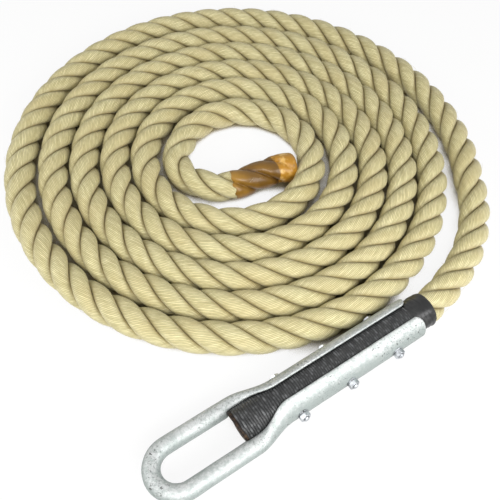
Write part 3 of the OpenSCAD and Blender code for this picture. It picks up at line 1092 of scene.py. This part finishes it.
@dataclass
class Forging:
    """The eye, its necks and the two half-round shells, which are one forging."""

    bracket: Bracket
    columns: int = 64
    mouth_rows: tuple = (0.0, 0.25, 0.6, 1.2, 2.2, 3.5, 5, 6.5, 8)
    mouth_edge: float = 0.6
    mouth_inset: float = 0.7 * MM
    mouth_run: float = 14 * MM
    shell_rows: int = 26
    neck_rows: int = 22
    leg_rows: int = 14
    bend_rows: int = 34
    zinc_waves: tuple = ((55.0, 0.22 * MM, 1.5), (190.0, 0.08 * MM, 6.0))

    def bar_section(self) -> np.ndarray:
        """Return the round bar's section, as Y and Z about the bar's own middle."""
        turn = circle(self.columns)
        return self.bracket.bar_d / 2 * np.stack([np.cos(turn), np.sin(turn)], -1)

    def shell_section(self, half: float, inset: float = 0.0) -> np.ndarray:
        """Return a shell's section, as Y and Z about the bracket's axis.

        Args:
            half: the angle from the middle of the shell to its edge.
            inset: how far the outline is drawn in.

        Returns:
            The outline, which starts at the outermost point as the bar's does.
        """
        b = self.bracket
        turn = circle(self.columns)
        c, s = np.cos(turn), np.sin(turn)
        thick = b.shell_t / 2 - inset
        r = (b.shell_ir + b.shell_or) / 2 + thick * np.sign(c) * np.abs(c) ** 0.32
        angle = (half - inset / b.shell_or) * np.sign(s) * (1 - (1 - np.abs(s)) ** 0.78)
        corner = 1 - 0.028 * np.maximum(0, np.abs(s) - 0.9) / 0.1
        return np.stack([r * np.cos(angle * corner), r * np.sin(angle * corner)], -1)

    def half_side(self) -> np.ndarray:
        """Return the rows from the mouth to the crown on the far side, in the bracket's frame."""
        b = self.bracket
        rows = []
        top = b.shell_or * math.sin(b.shell_half)
        for back in self.mouth_rows:
            x = b.shell_end - back * MM
            level = top - b.corner_r + math.sqrt(b.corner_r**2 - (b.corner_r - back * MM) ** 2)
            half = math.asin(min(1.0, max(level, 0.2 * top) / b.shell_or))
            inset = self.mouth_inset * (1 - min(1.0, back / self.mouth_edge)) ** 2
            rows.append((x, self.shell_section(half, inset)))
        for x in np.linspace(b.shell_end - self.mouth_run, b.shell_x, self.shell_rows):
            rows.append((x, self.shell_section(b.shell_half)))
        bar = self.bar_section() + np.array([b.leg_y, 0])
        shell = self.shell_section(b.shell_half)
        for x in np.linspace(b.shell_x, b.neck_x, self.neck_rows)[1:]:
            share = float(smooth_step(x, b.neck_x - 4 * MM, b.shell_x))
            rows.append((x, shell * share + bar * (1 - share)))
        for x in np.linspace(b.neck_x, b.leg_y, self.leg_rows)[1:-1]:
            rows.append((x, bar))
        points = [np.column_stack([np.full(self.columns, x), section]) for x, section in rows]
        side = np.array(points)
        axis_r = np.hypot(side[..., 1], side[..., 2])
        room = b.shell_ir * smooth_step(side[..., 0], b.seal_x - 6 * MM, b.seal_x)
        push = np.maximum(1.0, room / np.maximum(axis_r, 1e-9))
        side[..., 1:] *= push[..., None]
        return side

    def crown_rows(self) -> np.ndarray:
        """Return the rows of the crown's bend, from the far leg to the near one."""
        b = self.bracket
        section = self.bar_section()
        rows = []
        for turn in np.linspace(0, math.pi, self.bend_rows):
            out = np.array([-math.sin(turn), math.cos(turn), 0.0])
            middle = np.array([b.leg_y, 0, 0]) + out * b.leg_y
            rows.append(middle + section[:, 0:1] * out + section[:, 1:2] * np.array([0, 0, 1.0]))
        return np.array(rows)

    def build(self) -> bpy.types.Object:
        """Make the forging, a little uneven as hot-dip zinc leaves it."""
        far = self.half_side()
        near = far[::-1] * np.array([1, -1, 1])
        rows = np.vstack([far, self.crown_rows(), near])
        outward = unit(rows - rows.mean(axis=1, keepdims=True))
        uneven = sum(rough(rows, *wave) for wave in self.zinc_waves)
        rows = rows + outward * uneven[..., None]
        mesh = grid_mesh("hanging_eye_forging", self.bracket.place(rows))
        # The height in the bar's section, from -1 underneath to 1 on top, for the finish's painted light on
        # top and painted shade below.
        hold(mesh, crest=rows[..., 2] / np.abs(rows[..., 2]).max(axis=1, keepdims=True))
        piece = as_piece("hanging_eye_forging", mesh)
        nodes = ("hanging_loop", "near_shell", "far_shell")
        return dress(piece, GalvanisedFinish().build(), "galvanised", *nodes)


@dataclass
class Winding:
    """What is wound on the clamped end: the whipping, the mouth tape and the seal."""

    bracket: Bracket
    pitch: float = 2.5 * MM
    twine_wide: float = 3.0 * MM
    twine_swell: float = 1.5
    twine_uneven: float = 1.7 * MM
    twine_lap: float = 1.4 * MM
    columns: int = 96
    tape_rows: int = 46
    tape_lap: float = 3.5 * MM
    tape_slant: float = 5 * MM
    tape_sunk: float = 0.9 * MM
    tape_lump: float = 1.3 * MM
    band_starts: tuple = (5.5, 9.5, 14.0, 19.0)
    band_step: float = 0.42 * MM
    fold_run: float = 3.5 * MM
    fold_deep: float = 1.6 * MM
    seal_slant: float = 0.24
    slant_above: float = 5 * MM
    slant_run: float = 80 * MM
    seal_profile: tuple = (
        (-6, 17.02), (-5.7, 17.3), (-2.6, 17.5), (-2.1, 18.05), (0.0, 18.15), (0.9, 17.7), (1.5, 16.6),
        (1.6, 15), (1.3, 11), (1.2, 6), (1.2, 1))

    def whipping_recipe(self) -> Recipe:
        """Return the tree that winds the whipping."""
        r = Recipe("whipping", Turns="Float", Wound_Radius="Float", Wound_Length="Float", Half_Wide="Float",
                   Half_Thick="Float", Uneven="Float", Material="Material")
        spiral = r.add("GeometryNodeCurveSpiral", None, {
            "Resolution": 40, "Rotations": r.given("Turns"), "Start Radius": r.given("Wound Radius"),
            "End Radius": r.given("Wound Radius"), "Height": r.given("Wound Length")}).outputs[0]
        wound = r.number("GeometryNodeSplineParameter", None, None, "Factor") * r.given("Turns")
        spiral = r.keep(spiral, "wound", wound)
        ring = r.add("GeometryNodeCurvePrimitiveCircle", None, {"Resolution": 8}).outputs[0]
        share = r.number("GeometryNodeSplineParameter", None, None, "Factor") * TAU
        place = r.add("ShaderNodeCombineXYZ", None, {
            "X": share.cosine() * r.given("Half Thick"),
            "Y": share.sine() * r.given("Half Wide")}).outputs[0]
        ring = r.add("GeometryNodeSetPosition", None, {"Geometry": ring, "Position": place}).outputs[0]
        # 1 on the twine's top and bottom, where the finish paints glints.
        ring = r.keep(ring, "crest", abs(share.cosine()))
        flat = r.add("GeometryNodeSetCurveNormal", {"mode": "Z_UP"}, {"Curve": spiral}).outputs[0]
        twine = r.add("GeometryNodeCurveToMesh", None, {
            "Curve": flat, "Profile Curve": ring, "Fill Caps": True}).outputs[0]
        cloud = r.add("ShaderNodeTexNoise", None, {"Scale": 210.0, "Detail": 2.0}).outputs["Color"]
        steps = (("SUBTRACT", {1: (0.5, 0.5, 0.5)}), ("SCALE", {"Scale": r.given("Uneven")}))
        for operation, values in steps:
            cloud = r.add("ShaderNodeVectorMath", {"operation": operation}, {0: cloud, **values}).outputs[0]
        r.close(r.add("GeometryNodeSetPosition", None, {"Geometry": twine, "Offset": cloud}).outputs[0])
        return r

    def whipping(self) -> bpy.types.Object:
        """Make the whipping from the seal to the mouth tape."""
        b = self.bracket
        thick = b.whip_r - b.core_r
        long = b.tape_x - b.whip_x - self.twine_wide + self.twine_lap
        finish = BlackFinish("black_whipping", gloss=0.30, shine=0.32, grain=420.0, depth_m=0.0005).build()
        blank = bpy.data.meshes.new("blank")
        piece = self.whipping_recipe().make(
            "end_whipping_turns", blank, Turns=long / self.pitch, Wound_Radius=b.core_r + thick / 2,
            Wound_Length=long, Half_Wide=self.twine_wide / 2, Half_Thick=thick / 2 * self.twine_swell,
            Uneven=self.twine_uneven, Material=finish)
        stand = Matrix((
            (0, 0, 1, b.whip_x + self.twine_wide / 2), (1, 0, 0, 0), (0, 1, 0, 0), (0, 0, 0, 1)))
        piece.data.transform(stand)
        points = np.array([v.co for v in piece.data.vertices], float)
        fade = 1 - smooth_step(points[:, 0], b.whip_x, b.whip_x + self.slant_run)
        points[:, 0] -= (points[:, 2] + self.slant_above) * self.seal_slant * fade
        placed = b.place(points)
        piece.data.vertices.foreach_set("co", placed.astype(np.float32).ravel())
        turn_outwards(piece.data)
        return dress(piece, finish, "whipping", "end_whipping")

    def ring(self, x: float, r: float | np.ndarray) -> np.ndarray:
        """Return one row of points around the bracket's axis, at x along it."""
        around = circle(self.columns)
        return np.column_stack([np.full(self.columns, x), r * np.cos(around), r * np.sin(around)])

    def tape(self) -> bpy.types.Object:
        """Make the mouth tape, a few slanting bands that fold in at the rope."""
        b = self.bracket
        around = circle(self.columns)
        outer = np.linspace(0, 1, self.tape_rows)
        under = b.tape_x - self.tape_lap
        x = under + (b.mouth_x - under) * outer
        slant = self.tape_slant * np.sin(around + 0.6)
        rows = []
        for place in x:
            s = place + slant * (1 - smooth_step(place, b.mouth_x - 4 * MM, b.mouth_x))
            bands = sum(self.band_step * smooth_step(s, b.tape_x + at * MM, b.tape_x + (at + 0.5) * MM)
                        for at in self.band_starts)
            fold = np.clip((place - (b.mouth_x - self.fold_run)) / self.fold_run, 0, 1)
            r = b.whip_r - self.tape_sunk + bands - self.fold_deep * (1 - math.sqrt(max(0.0, 1 - fold**2)))
            rows.append(self.ring(place, r))
        for place in (b.mouth_x, b.mouth_x - 2 * MM, under + 1 * MM, under):
            rows.append(self.ring(place, b.core_r))
        rows.append(rows[0])
        grid = np.array(rows)
        loose = smooth_step(grid[..., 0], b.shell_end - 1 * MM, b.shell_end + 6 * MM)
        lift = (np.abs(rough(grid, 90.0, self.tape_lump, 2.2)) * loose)[..., None]
        lift[self.tape_rows:-1] = 0
        grid = grid + unit(grid * np.array([0, 1, 1])) * lift
        mesh = grid_mesh("mouth_tape_bands", b.place(grid), caps=False)
        merge_points(mesh)
        finish = BlackFinish("black_tape", gloss=0.24, shine=0.45, grain=420.0)
        return dress(as_piece("mouth_tape_bands", mesh), finish.build(), "tape", "mouth_tape")

    def seal(self) -> bpy.types.Object:
        """Make the resin seal, with a thick uneven rim."""
        b = self.bracket
        grid = np.array([self.ring(b.whip_x - back * MM, r * MM) for back, r in self.seal_profile])
        free = (np.arange(len(self.seal_profile)) > 0)[:, None]
        grid[..., 0] -= np.abs(rough(grid, 260.0, 0.5 * MM, 8.0)) * free
        grid[..., 0] -= (grid[..., 2] + self.slant_above) * self.seal_slant
        mesh = grid_mesh("end_seal_resin", b.place(grid))
        return dress(as_piece("end_seal_resin", mesh), SealFinish().build(), "seal", "end_seal")

    def build(self) -> None:
        """Make the three wound pieces."""
        self.whipping()
        self.tape()
        self.seal()


def merge_points(mesh: bpy.types.Mesh, apart: float = 1e-7) -> None:
    """Join points that lie on each other, and turn the faces outwards.

    Args:
        mesh: the mesh to mend.
        apart: the largest distance between points that are joined.
    """
    work = bmesh.new()
    work.from_mesh(mesh)
    bmesh.ops.remove_doubles(work, verts=work.verts, dist=apart)
    bmesh.ops.recalc_face_normals(work, faces=work.faces)
    work.to_mesh(mesh)
    work.free()
    turn_outwards(mesh)


@dataclass
class Fasteners:
    """The through bolts, with their spring washers and nuts."""

    bracket: Bracket
    count: int = 3
    inset: float = 11 * MM
    pitch: float = 60.5 * MM
    bolt_r: float = 3 * MM
    spot_depth: float = 0.8 * MM
    hex_af: float = 10 * MM
    head_h: float = 3 * MM
    nut_h: float = 5 * MM
    tip: float = 1.5 * MM
    washer_r: float = 5.9 * MM
    washer_t: float = 1.6 * MM
    slit: float = math.radians(10)
    thread_pitch: float = 1 * MM
    thread_depth: float = 0.45 * MM
    threaded: float = 9 * MM
    shoulder: float = 0.1 * MM
    run_out: float = 0.7 * MM
    run_out_deep: float = 0.25 * MM
    tip_chamfer: float = 0.75 * MM
    hole_clearance: float = 0.1 * MM
    flat_share: float = 0.95
    chamfer: float = math.radians(30)
    corner_in: float = 0.08 * MM
    corner_up: float = 0.1 * MM
    dish_r: float = 3.6 * MM
    dish_edge_r: float = 4.1 * MM
    dish_deep: float = 0.35 * MM
    face_middle_r: float = 0.4 * MM
    washer_lift: float = 0.08 * MM
    washer_edge: float = 0.18 * MM
    columns: int = 72

    def __post_init__(self) -> None:
        """Work out the seats on the shells."""
        self.seat = self.bracket.shell_or - self.spot_depth

    def across(self, points: np.ndarray, i: int, y: float) -> np.ndarray:
        """Place a shape that grows along Z, so that it grows from the far side to the near side.

        Args:
            points: the shape's points.
            i: the bolt's number, from 1.
            y: where the shape's own Z is 0.

        Returns:
            The points in the part's frame.
        """
        x = self.bracket.shell_x + self.inset + (i - 1) * self.pitch
        turned = np.stack([x + points[..., 0], y - points[..., 2], points[..., 1]], -1)
        return self.bracket.place(turned)

    def hexagon(self, turn: np.ndarray) -> np.ndarray:
        """Return the radius of the hexagon at each angle."""
        sixth = math.pi / 3
        return self.hex_af / 2 / np.cos((turn + sixth / 2) % sixth - sixth / 2)

    def hex_rows(self, low: float, high: float, chamfer_low: bool, turn: np.ndarray) -> list[np.ndarray]:
        """Return the rows of a hexagon with rounded-off corners.

        Args:
            low: the height of the bottom face.
            high: the height of the top face.
            chamfer_low: whether the bottom corners are cut too.
            turn: the angles of the columns.

        Returns:
            The rows, from the bottom to the top.
        """
        flat = self.hex_af / 2 * self.flat_share
        six = self.hexagon(turn)
        cut = (six - flat) * math.tan(self.chamfer)
        rows = []
        if chamfer_low:
            rows += [(np.full_like(turn, flat), np.full_like(turn, low)), (six - self.corner_in, low + cut)]
        else:
            rows.append((six, np.full_like(turn, low)))
        rows += [(six, low + cut * chamfer_low + self.corner_up), (six, high - cut - self.corner_up),
                 (six - self.corner_in, high - cut), (np.full_like(turn, flat), np.full_like(turn, high))]
        return [np.stack([r * np.cos(turn), r * np.sin(turn), z], -1) for r, z in rows]

    def ring(self, r: float | np.ndarray, z: float | np.ndarray, turn: np.ndarray) -> np.ndarray:
        """Return one round row."""
        return np.stack([r * np.cos(turn), r * np.sin(turn), z + 0 * turn], -1)

    def thread_rows(self, low: float, high: float, turn: np.ndarray) -> list[np.ndarray]:
        """Return the rows of a screw thread between two heights."""
        rows = []
        for z in np.arange(low, high, self.thread_pitch / 8):
            phase = (z / self.thread_pitch - turn / TAU) % 1
            depth = self.thread_depth * (1 - np.abs(2 * phase - 1))
            fade = smooth_step(z, high - self.run_out, high)
            rows.append(self.ring(self.bolt_r - depth - fade * self.run_out_deep, z, turn))
        return rows

    def bolt(self, i: int, finish: bpy.types.Material) -> bpy.types.Object:
        """Make one bolt, with its head on the far side and its thread on the near side."""
        turn = circle(self.columns)
        shank = 2 * self.seat + self.washer_t + self.nut_h + self.tip
        dish = self.dish_deep - self.head_h
        rows = [self.ring(self.face_middle_r, dish, turn), self.ring(self.dish_r, dish, turn),
                self.ring(self.dish_edge_r, -self.head_h, turn)]
        rows += [row * np.array([1, 1, -1]) for row in reversed(self.hex_rows(0, self.head_h, False, turn))]
        plain = shank - self.threaded
        rows += [self.ring(self.bolt_r, 0.0, turn), self.ring(self.bolt_r, plain, turn)]
        rows += self.thread_rows(plain + self.shoulder, shank, turn)
        rows.append(self.ring(self.bolt_r - self.tip_chamfer, shank, turn))
        rows.append(self.ring(self.face_middle_r, shank, turn))
        mesh = grid_mesh(f"bolt_{i}", self.across(np.array(rows), i, self.seat))
        mesh.set_sharp_from_angle(angle=SHARP_EDGE)
        return dress(as_piece(f"bolt_{i}", mesh), finish, "fasteners", f"clamp_bolt_{i}")

    def nut(self, i: int, finish: bpy.types.Material) -> bpy.types.Object:
        """Make one nut with both faces chamfered."""
        turn = circle(self.columns) + 0.35 * i
        hole = self.bolt_r + self.hole_clearance
        rows = [self.ring(hole, 0.0, turn)] + self.hex_rows(0, self.nut_h, True, turn)
        rows.append(self.ring(hole + self.thread_depth, self.nut_h, turn))
        rows.append(self.ring(hole, self.nut_h - self.thread_depth, turn))
        rows.append(rows[0])
        mesh = grid_mesh(f"nut_{i}", self.across(np.array(rows), i, -self.seat - self.washer_t), caps=False)
        merge_points(mesh)
        mesh.set_sharp_from_angle(angle=SHARP_EDGE)
        return dress(as_piece(f"nut_{i}", mesh), finish, "fasteners", f"hex_nut_{i}")

    def washer(self, i: int, finish: bpy.types.Material) -> bpy.types.Object:
        """Make one spring washer, a slit ring whose ends stand a little apart."""
        start = math.radians(90) * i + self.slit / 2
        turn = start + np.linspace(0, TAU - self.slit, self.columns)
        lift = np.linspace(0, 2 * self.washer_lift, self.columns) - self.washer_lift
        inner, edge = self.bolt_r + self.hole_clearance, self.washer_edge
        outline = [(inner, edge), (inner + edge, 0), (self.washer_r - edge, 0), (self.washer_r, edge),
                   (self.washer_r, self.washer_t - edge), (self.washer_r - edge, self.washer_t),
                   (inner + edge, self.washer_t), (inner, self.washer_t - edge)]
        rows = []
        for a, up in zip(turn, lift):
            heights = [min(max(z + up, 0), self.washer_t) for _, z in outline]
            rows.append([(r * math.cos(a), r * math.sin(a), z) for (r, _), z in zip(outline, heights)])
        mesh = grid_mesh(f"washer_{i}", self.across(np.array(rows), i, -self.seat))
        mesh.set_sharp_from_angle(angle=SHARP_EDGE)
        return dress(as_piece(f"washer_{i}", mesh), finish, "fasteners", f"spring_washer_{i}")

    def build(self) -> None:
        """Make all the fasteners."""
        finish = ZincFinish().build()
        for i in range(1, self.count + 1):
            self.bolt(i, finish)
            self.washer(i, finish)
            self.nut(i, finish)


def dress_core(bracket: Bracket, resin: float = 7 * MM) -> None:
    """Give the squeezed end of the rope, inside the clamp, its own finish.

    Args:
        bracket: the clamp.
        resin: how far the seal's resin has soaked into that end of the rope.
    """
    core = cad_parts["rope_clamped_end"]
    material = CoreFinish().build(bracket.crown, bracket.axis, bracket.whip_x + resin)
    for slot in core.material_slots:
        slot.material = material
    if not core.material_slots:
        core.data.materials.append(material)


# ---------------------------------------------------------------------------
# Floor, light and camera
# ---------------------------------------------------------------------------

@dataclass
class Studio:
    """A plain pale floor, with painted shade in its crevices, soft light and the camera."""

    target: tuple = (12.14 * MM, -74.90 * MM, 18 * MM)
    distance: float = 751.9 * MM
    elevation: float = math.radians(54.837)
    roll: float = math.radians(5.183)
    lens_mm: float = 48.08
    sensor_mm: float = 36.0
    floor_half: float = 6.0
    floor_colour: tuple = (0.93, 0.93, 0.93)
    # A warm painted shade for the edges of crevices, and a dark brown painted shade for the crevices.
    painted_edge_shade: tuple = (0.60, 0.52, 0.34)
    painted_crevice_shade: tuple = (0.33, 0.275, 0.15)
    crevice: float = 30 * MM
    crevice_rays: int = 20
    floor_drop: float = 0.2 * MM
    glow: float = 0.90

    def camera(self) -> None:
        """Make the camera."""
        back = Vector((0, -math.cos(self.elevation), math.sin(self.elevation)))
        right = Vector((1, 0, 0))
        up = Vector((0, math.sin(self.elevation), math.cos(self.elevation)))
        across = math.cos(self.roll) * right + math.sin(self.roll) * up
        above = -math.sin(self.roll) * right + math.cos(self.roll) * up
        data = bpy.data.cameras.new("camera")
        data.lens, data.sensor_width, data.sensor_fit = self.lens_mm, self.sensor_mm, "HORIZONTAL"
        data.clip_start, data.clip_end = 0.01, 50.0
        camera = bpy.data.objects.new("camera", data)
        bpy.context.scene.collection.objects.link(camera)
        place = Matrix((across, above, back)).transposed().to_4x4()
        place.translation = Vector(self.target) + back * self.distance
        camera.matrix_world = place
        bpy.context.scene.camera = camera

    def floor(self) -> None:
        """Make the floor, which the camera sees paler than the light makes it, also in a mirror. In
        crevices, as between the rope's turns, it is painted a dark brown shade and does not glow, and at the
        crevices' edges its glow is a warm painted shade.
        """
        half = self.floor_half
        mesh = bpy.data.meshes.new("floor")
        low = CAD_BOX[0][2] - self.floor_drop
        corners = [(-half, -half, low), (half, -half, low), (half, half, low), (-half, half, low)]
        mesh.from_pydata(corners, [], [(0, 1, 2, 3)])
        floor = as_piece("floor", mesh)
        s = Shader("pale_floor")
        seen = s.rays("Camera", "Glossy", "Transmission")
        open_floor = s.openness(self.crevice, self.crevice_rays).between(0.19, 0.33)
        # Painted shade: where the floor is partly closed in, its glow is warm and darker.
        tint = s.mix(open_floor, self.painted_edge_shade, (1, 1, 1))
        glow = s.add("ShaderNodeEmission", None, {"Color": tint, "Strength": 1.0})
        # Painted shade: in crevices the floor is painted dark brown, and its glow fades out there.
        paint = s.mix(open_floor, self.painted_crevice_shade, self.floor_colour)
        matt = s.add("ShaderNodeBsdfDiffuse", None, {"Color": paint})
        values = {0: seen * open_floor * self.glow, 1: matt.outputs[0], 2: glow.outputs[0]}
        both = s.add("ShaderNodeMixShader", None, values)
        s.add("ShaderNodeOutputMaterial", None, {"Surface": both.outputs[0]})
        mesh.materials.append(s.material)

    def world(self) -> None:
        """Make the soft surrounding light and the white background."""
        world = bpy.data.worlds.new("studio")
        world.use_nodes = True
        tree = Tree(world.node_tree)
        tree.nodes.nodes.clear()
        seen = tree.rays("Camera", "Glossy")
        soft = tree.add("ShaderNodeBackground", None, {"Color": (1.0, 1.0, 0.985, 1), "Strength": 0.33})
        white = tree.add("ShaderNodeBackground", None, {"Color": (1, 1, 1, 1), "Strength": 1.0})
        both = tree.add("ShaderNodeMixShader", None, {0: seen, 1: soft.outputs[0], 2: white.outputs[0]})
        tree.add("ShaderNodeOutputWorld", None, {"Surface": both.outputs[0]})
        bpy.context.scene.world = world

    def lamp(self, name: str, place: Sequence[float], aim: Sequence[float], size: float,
             watts: float) -> None:
        """Make one square soft lamp.

        Args:
            name: the lamp's name.
            place: where it stands.
            aim: where it points.
            size: its side.
            watts: its power.
        """
        data = bpy.data.lights.new(name, "AREA")
        data.shape, data.size, data.energy = "SQUARE", size, watts
        lamp = bpy.data.objects.new(name, data)
        bpy.context.scene.collection.objects.link(lamp)
        way = Vector(aim) - Vector(place)
        lamp.rotation_euler = way.to_track_quat("-Z", "Y").to_euler()
        lamp.location = place

    def build(self) -> None:
        """Make the stage."""
        bpy.context.scene.view_settings.view_transform = "Standard"
        self.camera()
        self.floor()
        self.world()
        self.lamp("key", (0.15, -0.95, 0.75), (0, -0.08, 0), 0.6, 9.2)
        self.lamp("left_fill", (-1.05, -0.30, 0.6), (-0.1, 0, 0), 0.7, 5.0)
        self.lamp("right_fill", (1.05, -0.6, 0.75), (0.15, -0.12, 0), 0.7, 10.5)


def main() -> None:
    """Build the stage and every piece of the object."""
    logging.basicConfig(level=logging.INFO, format="%(message)s")
    Studio().build()
    bracket = Bracket()
    route = RopeRoute()
    route.build(bracket.mouth, bracket.axis)
    LOG.info("rope: %.3f m from the mouth to the dipped end", route.length)
    Rope(route).build()
    Forging(bracket).build()
    Winding(bracket).build()
    Fasteners(bracket).build()
    dress_core(bracket)
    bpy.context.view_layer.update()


if __name__ == "__main__":
    main()
